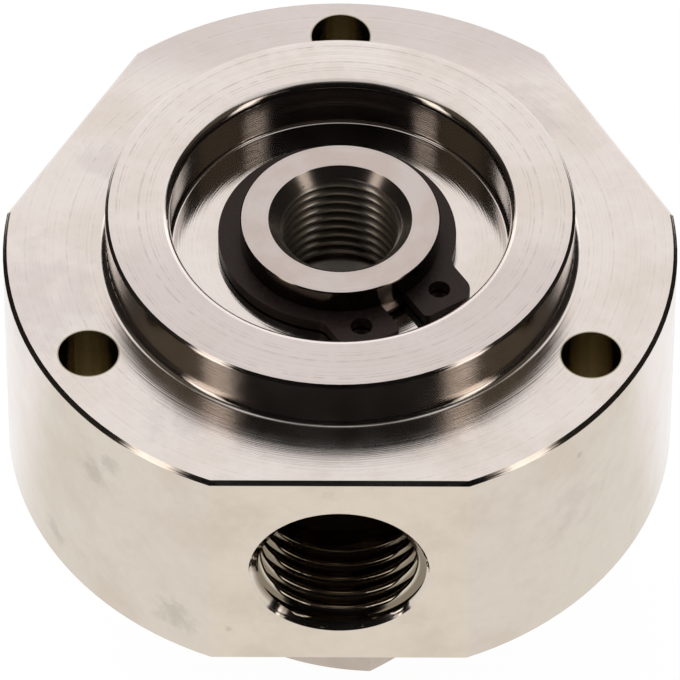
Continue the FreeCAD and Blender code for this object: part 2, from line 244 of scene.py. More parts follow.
def film_and_shade_share(tree, place, inward, height):
    """Ragged oil films from handling, painted shade at the spigot's front, darker at the back."""
    ragged = add_node(tree, "ShaderNodeTexNoise", {
        "Vector": place, "Scale": FILM_EDGE_PER_MM, "Detail": 4.0})
    spots = nearness(tree, place, HANDLING_FILMS, ragged)
    spots = add_node(tree, "ShaderNodeMath", {0: spots, 1: FILM_SHARE}, operation="MULTIPLY")
    # Painted shade: the spigot's face is darker towards its front.
    painted_front_shade = add_node(tree, "ShaderNodeMapRange", {
        0: inward, 1: FRONT_SHADE_RUN[0], 2: FRONT_SHADE_RUN[1], 4: WIDE_DARKENING_SHARE},
        interpolation_type="SMOOTHSTEP")
    raised = add_node(tree, "ShaderNodeMath", {0: height, 1: SPIGOT_FACE_FROM},
                      operation="GREATER_THAN")
    painted_front_shade = add_node(tree, "ShaderNodeMath", {0: painted_front_shade, 1: raised},
                          operation="MULTIPLY")
    # A wide darker stretch over the flange's back.
    back_darkening = add_node(tree, "ShaderNodeMapRange", {
        0: inward, 1: BACK_DARKENING_RUN[0], 2: BACK_DARKENING_RUN[1], 4: WIDE_DARKENING_SHARE},
        interpolation_type="SMOOTHSTEP")
    lower = add_node(tree, "ShaderNodeMath", {0: height, 1: FLANGE_FACE_TO},
                     operation="LESS_THAN")
    back_darkening = add_node(tree, "ShaderNodeMath", {0: back_darkening, 1: lower}, operation="MULTIPLY")
    films_and_shade = add_node(tree, "ShaderNodeMath", {0: spots, 1: painted_front_shade}, operation="MAXIMUM")
    return add_node(tree, "ShaderNodeMath", {0: films_and_shade, 1: back_darkening}, operation="MAXIMUM")


def feed_mark_share(tree, place, feed_marks):
    """The deepest of the feed marks, which hold dirt in short streaks."""
    darker = add_node(tree, "ShaderNodeMapRange", {
        0: feed_marks, 1: FEED_MARK_CUT[0], 2: FEED_MARK_CUT[1], 4: FEED_MARK_SHARE},
        interpolation_type="SMOOTHSTEP")
    streaks = add_node(tree, "ShaderNodeTexNoise", {
        "Vector": place, "Scale": STREAKS_PER_MM, "Detail": 3.0})
    streaks = add_node(tree, "ShaderNodeMapRange", {
        0: streaks, 1: NOISE_SPAN[0], 2: NOISE_SPAN[1]}, interpolation_type="SMOOTHSTEP")
    return add_node(tree, "ShaderNodeMath", {0: streaks, 1: darker}, operation="MULTIPLY")


def smudge_share(tree, place):
    """Small dark smudges on the wall."""
    specks = add_node(tree, "ShaderNodeTexNoise", {
        "Vector": place, "Scale": SMUDGE_EDGE_PER_MM, "Detail": 7.0, "Roughness": 0.7})
    smudges = nearness(tree, place, SMUDGES, specks)
    return add_node(tree, "ShaderNodeMath", {0: smudges, 1: SMUDGE_SHARE}, operation="MULTIPLY")


def on_flange_edge(tree, reach, height):
    """1 on the narrow chamfer round the flange, 0 elsewhere."""
    outermost = add_node(tree, "ShaderNodeMapRange", {
        0: reach, 1: FLANGE_EDGE_REACH[0], 2: FLANGE_EDGE_REACH[1]},
        interpolation_type="SMOOTHSTEP")
    upper = add_node(tree, "ShaderNodeMapRange", {
        0: height, 1: FLANGE_EDGE_HEIGHT[0], 2: FLANGE_EDGE_HEIGHT[1]},
        interpolation_type="SMOOTHSTEP")
    return add_node(tree, "ShaderNodeMath", {0: upper, 1: outermost}, operation="MULTIPLY")


def on_recess_wall(tree, reach, height):
    """1 on the upright wall of the recess, 0 elsewhere."""
    in_recess = add_node(tree, "ShaderNodeMath", {0: reach, 1: RECESS_WALL},
                         operation="LESS_THAN")
    upright = add_node(tree, "ShaderNodeMapRange", {
        0: height, 1: RECESS_WALL_HEIGHT[0], 2: RECESS_WALL_HEIGHT[1]},
        interpolation_type="SMOOTHSTEP")
    return add_node(tree, "ShaderNodeMath", {0: upright, 1: in_recess}, operation="MULTIPLY")


def in_side_port(tree, port_reach, inward):
    """1 inside the side port, 0 elsewhere."""
    within = add_node(tree, "ShaderNodeMath", {0: port_reach, 1: PORT_WALL},
                      operation="LESS_THAN")
    front = add_node(tree, "ShaderNodeMath", {0: inward, 1: PORT_SIDE}, operation="LESS_THAN")
    return add_node(tree, "ShaderNodeMath", {0: within, 1: front}, operation="MULTIPLY")


def tapped_port_colour(tree, port_reach, inward):
    """The tapped port's colour: light at the mouth, painted shade in its depth and at the roots."""
    deep = add_node(tree, "ShaderNodeMapRange", {
        0: inward, 1: TAPPED_DEPTH[0], 2: TAPPED_DEPTH[1]}, interpolation_type="SMOOTHSTEP")
    tapped = add_node(tree, "ShaderNodeMix", {
        "Factor": deep, 6: TAPPED_COLOUR, 7: TAPPED_DEPTH_SHADE_COLOUR}, 2, data_type="RGBA")
    root = add_node(tree, "ShaderNodeMapRange", {
        0: port_reach, 1: TAPPED_ROOT_REACH[0], 2: TAPPED_ROOT_REACH[1]},
        interpolation_type="SMOOTHSTEP")
    past_cone = add_node(tree, "ShaderNodeMapRange", {
        0: inward, 1: PORT_CONE_END[0], 2: PORT_CONE_END[1]}, interpolation_type="SMOOTHSTEP")
    root = add_node(tree, "ShaderNodeMath", {0: root, 1: past_cone}, operation="MULTIPLY")
    return add_node(tree, "ShaderNodeMix", {
        "Factor": root, 6: tapped, 7: TAPPED_ROOT_SHADE_COLOUR}, 2, data_type="RGBA")


def bright_nickel_plate():
    """Bright nickel plate on turned steel: near mirror, a little warm, clouded by handling."""
    material, tree = new_material("bright_nickel_plate_on_turned_steel")
    place = surface_place(tree)
    level = level_place(tree, place)
    reach, height = reach_and_height(tree, place)
    inward = add_node(tree, "ShaderNodeSeparateXYZ", {0: place}, "Y")
    across_port = add_node(tree, "ShaderNodeVectorMath", {0: place, 1: (1.0, 0.0, 1.0)},
                           operation="MULTIPLY")
    port_reach = add_node(tree, "ShaderNodeVectorMath", {
        0: across_port, 1: (0.0, 0.0, PORT_HEIGHT)}, "Value", operation="DISTANCE")
    on_spigot = add_node(tree, "ShaderNodeMath", {0: reach, 1: SPIGOT_WALL}, operation="LESS_THAN")
    in_port = in_side_port(tree, port_reach, inward)

    # The finishing cut shows more on the spigot than on the flange, and little in the recess.
    past_recess = add_node(tree, "ShaderNodeMapRange", {
        0: reach, 1: RECESS_EDGE[0], 2: RECESS_EDGE[1], 3: RECESS_SHARE},
        interpolation_type="SMOOTHSTEP")
    on_walls = add_node(tree, "ShaderNodeMath", {0: on_spigot, 1: WALL_LINES},
                        operation="MULTIPLY")
    cuts = []
    for per_mm, on_flange_face, on_spigot_face in (
            (RINGS_PER_MM, FLANGE_RINGS, SPIGOT_RINGS),
            (FEED_MARKS_PER_MM, FLANGE_FEED_MARKS, SPIGOT_FEED_MARKS)):
        on_faces = add_node(tree, "ShaderNodeMix", {
            "Factor": on_spigot, 2: on_flange_face, 3: on_spigot_face})
        on_faces = add_node(tree, "ShaderNodeMath", {0: on_faces, 1: past_recess},
                            operation="MULTIPLY")
        cuts.append(lathe_grooves(tree, reach, height, per_mm, on_faces, on_walls))
    grooves, feed_marks = cuts

    # What lies over the clean plate's colour, from the lowest layer to the uppermost.
    sunk = add_node(tree, "ShaderNodeMapRange", {
        0: inward, 1: PORT_EDGE, 2: PORT_EDGE + PORT_EDGE_WIDTH}, interpolation_type="SMOOTHSTEP")
    sunk = add_node(tree, "ShaderNodeMath", {0: sunk, 1: in_port}, operation="MULTIPLY")
    colour = clouded_plate(tree, place, level)
    for share, shown in (
            (film_and_shade_share(tree, place, inward, height), FILM_AND_SHADE_COLOUR),
            (feed_mark_share(tree, place, feed_marks), GROOVE_COLOUR),
            (smudge_share(tree, place), SMUDGE_COLOUR),
            # Painted shade: the recess wall is darker.
            (on_recess_wall(tree, reach, height), RECESS_WALL_SHADE_COLOUR),
            (in_bolt_holes(tree, level), BOLT_HOLE_COLOUR),
            (sunk, tapped_port_colour(tree, port_reach, inward))):
        colour = add_node(tree, "ShaderNodeMix", {"Factor": share, 6: colour, 7: shown}, 2,
                          data_type="RGBA")

    # The spigot, the port and the flange's edge are the smoothest, and wear makes all uneven.
    polished = add_node(tree, "ShaderNodeMath", {0: on_spigot, 1: in_port}, operation="MAXIMUM")
    polished = add_node(tree, "ShaderNodeMath", {
        0: polished, 1: on_flange_edge(tree, reach, height)}, operation="MAXIMUM")
    duller = add_node(tree, "ShaderNodeMix", {
        "Factor": polished, 2: PLATE_ROUGHNESS, 3: POLISHED_ROUGHNESS})
    wear = add_node(tree, "ShaderNodeTexNoise", {
        "Vector": place, "Scale": WEAR_PER_MM, "Detail": 3.0})
    worn = add_node(tree, "ShaderNodeMapRange", {
        0: wear, 1: NOISE_SPAN[0], 2: NOISE_SPAN[1], 3: -WORN_ROUGHNESS, 4: WORN_ROUGHNESS},
        interpolation_type="SMOOTHSTEP")
    roughness = add_node(tree, "ShaderNodeMath", {0: duller, 1: worn}, operation="ADD")
    grooved_metal(tree, colour, roughness, grooves, RING_DEPTH, RING_SMEAR)
    return material


def dress(node_name, material):
    """Gives a node of the frame its finished material."""
    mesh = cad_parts[node_name].data
    for slot in range(len(mesh.materials)):
        mesh.materials[slot] = material


plate = bright_nickel_plate()
dress("housing", plate)


# Rounded edges of the housing. The tool's nose leaves a small fillet at the foot of the spigot and
# of the recess, and the recess mouth is rolled over. They are the housing's own metal.
SPIGOT_RADIUS = 18.75
SPIGOT_FOOT_FILLET = 0.6
RECESS_RADIUS = 13.6
RECESS_FLOOR = -0.05
RECESS_FOOT_FILLET = 0.28
RECESS_MOUTH_ROUND = 0.7
SPIGOT_TOP = 4.35
EDGE_TUCK = 0.06
ROUND_STEPS = 10
STEPS_AROUND = 288
ROUND_SHARP_FROM = 40
MERGE_MM = 0.0004


def join_rows(form, rows, closed):
    """Faces between neighbouring rows of points, and round the last row to the first if closed."""
    around = len(rows[0])
    following = rows[1:] + rows[:1] if closed else rows[1:]
    for low, high in zip(rows, following):
        for i in range(around):
            j = (i + 1) % around
            form.faces.new((low[i], low[j], high[j], high[i]))
    if not closed:
        form.faces.new(rows[0])
        form.faces.new(list(reversed(rows[-1])))


def finished_piece(name, form, sharp_from):
    """Turns the mesh in millimetres into a piece in metres with smooth faces and sharp edges."""
    bmesh.ops.remove_doubles(form, verts=form.verts, dist=MERGE_MM)
    bmesh.ops.dissolve_degenerate(form, edges=form.edges, dist=MERGE_MM)
    bmesh.ops.recalc_face_normals(form, faces=form.faces)
    bmesh.ops.scale(form, vec=(MM, MM, MM), verts=form.verts)
    for face in form.faces:
        face.smooth = True
    mesh = bpy.data.meshes.new(name)
    form.to_mesh(mesh)
    form.free()
    mesh.set_sharp_from_angle(angle=math.radians(sharp_from))
    piece = bpy.data.objects.new(name, mesh)
    bpy.context.scene.collection.objects.link(piece)
    return piece


def rounded_edge(name, centre, radius, from_angle, to_angle, tucked):
    """A ring with an arc for its open side; the other side is tucked into the metal behind it."""
    arc = []
    for i in range(ROUND_STEPS + 1):
        turn = math.radians(from_angle + (to_angle - from_angle) * i / ROUND_STEPS)
        arc.append((centre[0] + radius * math.cos(turn), centre[1] + radius * math.sin(turn)))
    form = bmesh.new()
    rows = []
    for i in range(STEPS_AROUND):
        turn = math.tau * i / STEPS_AROUND
        rows.append([form.verts.new((reach * math.cos(turn), reach * math.sin(turn), z))
                     for reach, z in arc + tucked])
    join_rows(form, rows, True)
    ring = finished_piece(name, form, ROUND_SHARP_FROM)
    ring.data.materials.append(plate)
    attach(ring, "housing")


rounded_edge("spigot_foot_fillet",
             (SPIGOT_RADIUS + SPIGOT_FOOT_FILLET, SPIGOT_FOOT_FILLET),
             SPIGOT_FOOT_FILLET, 180.0, 270.0,
             [(SPIGOT_RADIUS + SPIGOT_FOOT_FILLET, -EDGE_TUCK),
              (SPIGOT_RADIUS - EDGE_TUCK, -EDGE_TUCK),
              (SPIGOT_RADIUS - EDGE_TUCK, SPIGOT_FOOT_FILLET)])
rounded_edge("recess_foot_fillet",
             (RECESS_RADIUS - RECESS_FOOT_FILLET, RECESS_FLOOR + RECESS_FOOT_FILLET),
             RECESS_FOOT_FILLET, 0.0, -90.0,
             [(RECESS_RADIUS - RECESS_FOOT_FILLET, RECESS_FLOOR - EDGE_TUCK),
              (RECESS_RADIUS + EDGE_TUCK, RECESS_FLOOR - EDGE_TUCK),
              (RECESS_RADIUS + EDGE_TUCK, RECESS_FLOOR + RECESS_FOOT_FILLET)])
rounded_edge("recess_mouth_round",
             (RECESS_RADIUS + RECESS_MOUTH_ROUND, SPIGOT_TOP - RECESS_MOUTH_ROUND),
             RECESS_MOUTH_ROUND, 90.0, 180.0,
             [(RECESS_RADIUS + EDGE_TUCK, SPIGOT_TOP - RECESS_MOUTH_ROUND - EDGE_TUCK),
              (RECESS_RADIUS + RECESS_MOUTH_ROUND + EDGE_TUCK, SPIGOT_TOP - EDGE_TUCK)])


# Side port thread. M14x1.5, tapped into the flat after drilling, so its ridges belong to the
# housing. The mouth's small chamfer cuts their first turn, and the last one fades out at the depth.
PORT_FACE = -25.0
PORT_MAJOR = 14.0
PORT_MINOR = 12.38
PORT_PITCH = 1.5
PORT_MOUTH = 14.4
PORT_FULL_DEPTH = 9.8
PORT_FADE_TURNS = 0.8
PORT_START = math.radians(257.0)
THREAD_STEPS = 96
THREAD_ACROSS = 13
THREAD_BURIED = 0.07
THREAD_SKIN = 0.004
THREAD_SHARP_FROM = 35
THREAD_FOOT = 7 / 8
THREAD_CREST = 1 / 4
THREAD_FLUSH = 0.001


def thread_ridge(name, major, minor, pitch, depth, mouth, fade_turns):
    """The ridge of an inside thread down from z = 0, with the mouth's 45 degree cone cut off it."""
    half_root = pitch * THREAD_FOOT / 2
    half_crest = pitch * THREAD_CREST / 2
    outer, inner = major / 2, minor / 2
    wall = outer + THREAD_BURIED
    ceiling = wall - mouth / 2
    form = bmesh.new()
    rows = []
    turn = 0.0
    while -depth + turn * pitch < ceiling:
        angle = turn * math.tau
        middle = -depth + half_root + turn * pitch
        grown = min(1.0, turn / fade_turns)
        row = []
        for i in range(THREAD_ACROSS):
            offset = -half_root + 2 * half_root * i / (THREAD_ACROSS - 1)
            slope = (half_root - abs(offset)) / (half_root - half_crest)
            flank = outer - (outer - inner) * min(1.0, slope) * grown
            flank = wall if flank > outer - THREAD_FLUSH else flank
            z = middle + offset
            reach = min(wall, max(flank, mouth / 2 + z - THREAD_SKIN))
            z = min(z, ceiling)
            row.append(form.verts.new((reach * math.cos(angle), reach * math.sin(angle), z)))
        for offset in (half_root, -half_root):
            reach = outer + 2 * THREAD_BURIED
            z = min(middle + offset, ceiling)
            row.append(form.verts.new((reach * math.cos(angle), reach * math.sin(angle), z)))
        rows.append(row)
        turn += 1.0 / THREAD_STEPS
    join_rows(form, rows, False)
    return finished_piece(name, form, THREAD_SHARP_FROM)


def place_ridge(ridge, turn, origin_mm):
    """Turns the ridge and moves it from its own axis into the hole."""
    ridge.data.transform(Matrix.Translation(Vector(origin_mm) * MM) @ turn)
    bpy.context.view_layer.update()


port_thread = thread_ridge("side_port_thread", PORT_MAJOR, PORT_MINOR, PORT_PITCH,
                           PORT_FULL_DEPTH, PORT_MOUTH, PORT_FADE_TURNS)
place_ridge(port_thread, Matrix.Rotation(math.radians(90), 4, "X")
            @ Matrix.Rotation(PORT_START, 4, "Z"), (0.0, PORT_FACE, PORT_HEIGHT))
port_thread.data.materials.append(plate)
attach(port_thread, "housing")


# Energisers. Rings moulded from black nitrile rubber, with a faint pale bloom. They go into the
# bore's seal grooves first, and press the seal rings on the rotor.
RUBBER_COLOUR = "1A1A1B"
RUBBER_BLOOM_COLOUR = "2B2B2C"
RUBBER_ROUGHNESS = 0.7
RUBBER_BLOOM_PER_MM = 1.5
FLECK_CUT = (0.5, 0.7)
GRAIN_DEPTH = 0.01


def filled_polymer(name, colour_text, fleck_text, roughness, flecks_per_mm):
    """Filled rubber or plastic: dull and even, with pale flecks of filler. The flecks are drawn
    coarser than they are, so that they show."""
    material, tree = new_material(name)
    place = surface_place(tree)
    flecks = add_node(tree, "ShaderNodeTexNoise", {"Vector": place, "Scale": flecks_per_mm,
                                                   "Detail": 3.0, "Roughness": 0.6})
    shown = add_node(tree, "ShaderNodeMapRange", {
        0: flecks, 1: FLECK_CUT[0], 2: FLECK_CUT[1]}, interpolation_type="SMOOTHSTEP")
    colour = add_node(tree, "ShaderNodeMix", {"Factor": shown, 6: colour_text, 7: fleck_text}, 2,
                      data_type="RGBA")
    grainy = add_node(tree, "ShaderNodeBump", {"Height": flecks, "Distance": GRAIN_DEPTH * MM,
                                               "Strength": 1.0})
    shader = add_node(tree, "ShaderNodeBsdfPrincipled", {
        "Base Color": colour, "Roughness": roughness, "Normal": grainy})
    add_node(tree, "ShaderNodeOutputMaterial", {"Surface": shader})
    return material


rubber = filled_polymer("nitrile_rubber", RUBBER_COLOUR, RUBBER_BLOOM_COLOUR,
                        RUBBER_ROUGHNESS, RUBBER_BLOOM_PER_MM)
for ring in ("upper_seal_energiser", "lower_seal_energiser"):
    dress(ring, rubber)


# Seal rings. Bronze filled seal plastic, waxy and brown, which slides on the rotor at each side of
# the oil chamber.
SEAL_COLOUR = "6E4B30"
SEAL_FLECK_COLOUR = "8F6A48"
SEAL_ROUGHNESS = 0.45
SEAL_FLECKS_PER_MM = 4.0

seal_plastic = filled_polymer("bronze_filled_seal_plastic", SEAL_COLOUR, SEAL_FLECK_COLOUR,
                              SEAL_ROUGHNESS, SEAL_FLECKS_PER_MM)
for ring in ("upper_seal_ring", "lower_seal_ring"):
    dress(ring, seal_plastic)


# Guide rings. Strips of glass filled, dark green plastic, laid in the bore's outer grooves. They
# carry the rotor and keep it off the housing.
GUIDE_COLOUR = "2F5A50"
GUIDE_FLECK_COLOUR = "4C7A6C"
GUIDE_ROUGHNESS = 0.6
GUIDE_FLECKS_PER_MM = 3.0

guide_plastic = filled_polymer("glass_filled_guide_plastic", GUIDE_COLOUR, GUIDE_FLECK_COLOUR,
                               GUIDE_ROUGHNESS, GUIDE_FLECKS_PER_MM)
for ring in ("upper_guide_ring", "lower_guide_ring"):
    dress(ring, guide_plastic)


# Rotor. A steel shaft with a collar and a hexagon in one piece, finely turned and ground where it
# runs. Its nose stands in the recess with the outlet's thread in it, darker than the housing.
ROTOR_COLOUR = "CABEB9"
ROTOR_WARM_COLOUR = "C2B4AC"
ROTOR_GROOVE_COLOUR = "A3968F"
ROTOR_BORE_COLOUR = "D0C6BC"
ROTOR_ROOT_SHADE_COLOUR = "7A7066"
NOSE_WALL_REFLECTION_COLOUR = "5C544E"
ROTOR_MOUTH_COLOUR = "A3978F"
ROTOR_NOSE_WALL = 7.9
ROTOR_NOSE_FOOT = -1.0
ROTOR_NOSE_EDGE = 3.26
ROTOR_MOUTH_WALL = 5.72
ROTOR_BORE_WALL = 5.12
ROTOR_BORE_TOP = 2.55
ROTOR_BORE_TOP_WIDTH = 0.4
ROTOR_ROOT_REACH = (4.55, 4.9)
ROTOR_HOLE_END = -10.0
ROTOR_CLOUDS_PER_MM = 0.25
ROTOR_CLOUD_CUT = (0.38, 0.68)
ROTOR_RINGS_PER_MM = 9.0
ROTOR_RING_DEPTH = 0.006
ROTOR_RING_CUT = (0.52, 0.8)
ROTOR_RING_SHARE = 0.4
ROTOR_WEAR_PER_MM = 0.5
FINE_SMEAR = 0.5
GROUND_ROUGHNESS = (0.12, 0.17)
MOUTH_ROUGHNESS = 0.2
TAPPED_ROUGHNESS = 0.3


def clouded_steel(tree, place):
    """The bare steel's colour: grey, with warmer clouds."""
    clouds = add_node(tree, "ShaderNodeTexNoise", {
        "Vector": place, "Scale": ROTOR_CLOUDS_PER_MM, "Detail": 5.0})
    clouded = add_node(tree, "ShaderNodeMapRange", {
        0: clouds, 1: ROTOR_CLOUD_CUT[0], 2: ROTOR_CLOUD_CUT[1]},
        interpolation_type="SMOOTHSTEP")
    return add_node(tree, "ShaderNodeMix", {
        "Factor": clouded, 6: ROTOR_COLOUR, 7: ROTOR_WARM_COLOUR}, 2, data_type="RGBA")


def on_nose_wall(tree, reach, height):
    """1 on the upright wall of the nose, 0 elsewhere."""
    wall = add_node(tree, "ShaderNodeMath", {0: reach, 1: ROTOR_NOSE_WALL},
                    operation="GREATER_THAN")
    above = add_node(tree, "ShaderNodeMath", {0: height, 1: ROTOR_NOSE_FOOT},
                     operation="GREATER_THAN")
    wall = add_node(tree, "ShaderNodeMath", {0: wall, 1: above}, operation="MULTIPLY")
    lowered = add_node(tree, "ShaderNodeMath", {0: height, 1: ROTOR_NOSE_EDGE},
                       operation="LESS_THAN")
    return add_node(tree, "ShaderNodeMath", {0: wall, 1: lowered}, operation="MULTIPLY")


def tapped_outlet_colour(tree, reach):
    """The tapped outlet's colour: light on the crests, with painted shade at the roots."""
    root = add_node(tree, "ShaderNodeMapRange", {
        0: reach, 1: ROTOR_ROOT_REACH[0], 2: ROTOR_ROOT_REACH[1]},
        interpolation_type="SMOOTHSTEP")
    return add_node(tree, "ShaderNodeMix", {
        "Factor": root, 6: ROTOR_BORE_COLOUR, 7: ROTOR_ROOT_SHADE_COLOUR}, 2, data_type="RGBA")


def fine_turned_steel():
    """Fine turned steel: closer rings than on the housing, and a little greyer."""
    material, tree = new_material("fine_turned_steel")
    place = surface_place(tree)
    reach, height = reach_and_height(tree, place)
    grooves = lathe_grooves(tree, reach, height, ROTOR_RINGS_PER_MM, 1.0, 0.5)

    # The outlet's mouth is a countersink, and the tapped bore starts below it.
    in_nose = add_node(tree, "ShaderNodeMath", {0: height, 1: ROTOR_HOLE_END},
                       operation="GREATER_THAN")
    in_mouth = add_node(tree, "ShaderNodeMath", {0: reach, 1: ROTOR_MOUTH_WALL},
                        operation="LESS_THAN")
    in_mouth = add_node(tree, "ShaderNodeMath", {0: in_mouth, 1: in_nose}, operation="MULTIPLY")
    below = add_node(tree, "ShaderNodeMapRange", {
        0: height, 1: ROTOR_BORE_TOP, 2: ROTOR_BORE_TOP - ROTOR_BORE_TOP_WIDTH},
        interpolation_type="SMOOTHSTEP")
    in_bore = add_node(tree, "ShaderNodeMath", {0: reach, 1: ROTOR_BORE_WALL},
                       operation="LESS_THAN")
    in_bore = add_node(tree, "ShaderNodeMath", {0: in_bore, 1: below}, operation="MULTIPLY")
    in_bore = add_node(tree, "ShaderNodeMath", {0: in_bore, 1: in_nose}, operation="MULTIPLY")

    # What lies over the bare steel's colour, from the lowest layer to the uppermost.
    darker = add_node(tree, "ShaderNodeMapRange", {
        0: grooves, 1: ROTOR_RING_CUT[0], 2: ROTOR_RING_CUT[1], 4: ROTOR_RING_SHARE},
        interpolation_type="SMOOTHSTEP")
    colour = clouded_steel(tree, place)
    for share, shown in ((darker, ROTOR_GROOVE_COLOUR),
                         # Painted reflection: the nose wall is dark, as if it mirrored the dark
                         # recess round it.
                         (on_nose_wall(tree, reach, height), NOSE_WALL_REFLECTION_COLOUR),
                         (in_mouth, ROTOR_MOUTH_COLOUR),
                         (in_bore, tapped_outlet_colour(tree, reach))):
        colour = add_node(tree, "ShaderNodeMix", {"Factor": share, 6: colour, 7: shown}, 2,
                          data_type="RGBA")

    wear = add_node(tree, "ShaderNodeTexNoise", {
        "Vector": place, "Scale": ROTOR_WEAR_PER_MM, "Detail": 3.0})
    ground = add_node(tree, "ShaderNodeMapRange", {
        0: wear, 1: NOISE_SPAN[0], 2: NOISE_SPAN[1],
        3: GROUND_ROUGHNESS[0], 4: GROUND_ROUGHNESS[1]}, interpolation_type="SMOOTHSTEP")
    cut = add_node(tree, "ShaderNodeMix", {
        "Factor": below, 2: MOUTH_ROUGHNESS, 3: TAPPED_ROUGHNESS})
    roughness = add_node(tree, "ShaderNodeMix", {"Factor": in_mouth, 2: ground, 3: cut})
    grooved_metal(tree, colour, roughness, grooves, ROTOR_RING_DEPTH, FINE_SMEAR)
    return material


steel = fine_turned_steel()
dress("rotor", steel)


# Outlet thread. M10x1, tapped down the rotor's nose, so its ridges turn with the rotor. The wide
# countersink cuts their first turn, and the last one ends over the cone of the drilled hole.
OUTLET_TOP = 3.3
OUTLET_MAJOR = 10.0
OUTLET_MINOR = 9.2
OUTLET_PITCH = 1.0
OUTLET_MOUTH = 11.5
OUTLET_FULL_DEPTH = 10.0
OUTLET_FADE_TURNS = 0.3
OUTLET_START = math.radians(300.0)

outlet_thread = thread_ridge("outlet_thread", OUTLET_MAJOR, OUTLET_MINOR, OUTLET_PITCH,
                             OUTLET_FULL_DEPTH, OUTLET_MOUTH, OUTLET_FADE_TURNS)
place_ridge(outlet_thread, Matrix.Rotation(OUTLET_START, 4, "Z"), (0.0, 0.0, OUTLET_TOP))
outlet_thread.data.materials.append(steel)
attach(outlet_thread, "rotor")


# Thrust washer. A turned bronze disc between the rotor's collar and the housing, which takes the
# push of the pressure on the rotor.
BRONZE_COLOUR = "D2A46A"
BRONZE_DARK_COLOUR = "A87B45"
BRONZE_CLOUDS_PER_MM = 0.4
BRONZE_CLOUD_CUT = (0.35, 0.7)
BRONZE_ROUGHNESS = (0.25, 0.35)
BRONZE_WEAR_PER_MM = 1.0
BRONZE_RINGS_PER_MM = 5.0
BRONZE_RING_DEPTH = 0.008


def turned_bronze():
    """Bronze, faced in a lathe: warm yellow brown, with darker patches where the oil stays."""
    material, tree = new_material("turned_bronze")
    place = surface_place(tree)
    reach, height = reach_and_height(tree, place)
    clouds = add_node(tree, "ShaderNodeTexNoise", {
        "Vector": place, "Scale": BRONZE_CLOUDS_PER_MM, "Detail": 4.0})
    clouded = add_node(tree, "ShaderNodeMapRange", {
        0: clouds, 1: BRONZE_CLOUD_CUT[0], 2: BRONZE_CLOUD_CUT[1]},
        interpolation_type="SMOOTHSTEP")
    colour = add_node(tree, "ShaderNodeMix", {"Factor": clouded, 6: BRONZE_COLOUR,
                                              7: BRONZE_DARK_COLOUR}, 2, data_type="RGBA")
    wear = add_node(tree, "ShaderNodeTexNoise", {
        "Vector": place, "Scale": BRONZE_WEAR_PER_MM, "Detail": 2.0})
    roughness = add_node(tree, "ShaderNodeMapRange", {
        0: wear, 1: NOISE_SPAN[0], 2: NOISE_SPAN[1],
        3: BRONZE_ROUGHNESS[0], 4: BRONZE_ROUGHNESS[1]},
        interpolation_type="SMOOTHSTEP")
    grooves = lathe_grooves(tree, reach, height, BRONZE_RINGS_PER_MM, 1.0, 0.5)
    grooved_metal(tree, colour, roughness, grooves, BRONZE_RING_DEPTH, FINE_SMEAR)
    return material


dress("thrust_washer", turned_bronze())


# Retaining ring. Stamped from spring steel and blacked with phosphate, then oiled. It springs into
# the rotor's groove and keeps the rotor from dropping out of the housing.
PHOSPHATE_COLOUR = "150F0E"
PHOSPHATE_GRAIN_COLOUR = "241B19"
PHOSPHATE_GLINT_COLOUR = "FFE4D6"
PHOSPHATE_GLINT = 0.25
OILED_ROUGHNESS = (0.34, 0.44)
CRYSTALS_PER_MM = 4.0
CRYSTAL_CUT = (0.45, 0.75)


def phosphated_spring_steel():
    """Oiled phosphate: nearly black with a brown cast, a fine crystal grain and a soft oily sheen.
    The crystals are drawn coarser than they are, so that they show."""
    material, tree = new_material("black_phosphated_spring_steel")
    place = surface_place(tree)
    grain = add_node(tree, "ShaderNodeTexNoise", {
        "Vector": place, "Scale": CRYSTALS_PER_MM, "Detail": 4.0, "Roughness": 0.7})
    grown = add_node(tree, "ShaderNodeMapRange", {
        0: grain, 1: CRYSTAL_CUT[0], 2: CRYSTAL_CUT[1]}, interpolation_type="SMOOTHSTEP")
    colour = add_node(tree, "ShaderNodeMix", {"Factor": grown, 6: PHOSPHATE_COLOUR,
                                              7: PHOSPHATE_GRAIN_COLOUR}, 2, data_type="RGBA")
    oiled = add_node(tree, "ShaderNodeMapRange", {
        0: grain, 1: NOISE_SPAN[0], 2: NOISE_SPAN[1],
        3: OILED_ROUGHNESS[0], 4: OILED_ROUGHNESS[1]},
        interpolation_type="SMOOTHSTEP")
    rough = add_node(tree, "ShaderNodeBump", {"Height": grain, "Distance": GRAIN_DEPTH * MM,
                                              "Strength": 1.0})
    shader = add_node(tree, "ShaderNodeBsdfPrincipled", {
        "Base Color": colour, "Roughness": oiled, "Normal": rough,
        "Specular IOR Level": PHOSPHATE_GLINT, "Specular Tint": PHOSPHATE_GLINT_COLOUR})
    add_node(tree, "ShaderNodeOutputMaterial", {"Surface": shader})
    return material


dress("retaining_ring", phosphated_spring_steel())


# Camera. The photograph is taken with a long lens from nearly 49 degrees above, square to the flat
# that carries the side port, with the rotor's axis in the middle of the picture.
TARGET_MM = (0.014, 0.0, -11.376)
CAMERA_ELEVATION = math.radians(48.654)
CAMERA_ROLL = math.radians(0.185)
CAMERA_DISTANCE_MM = 779.6
FOCAL_LENGTH = 510.1
SENSOR_WIDTH = 36.0


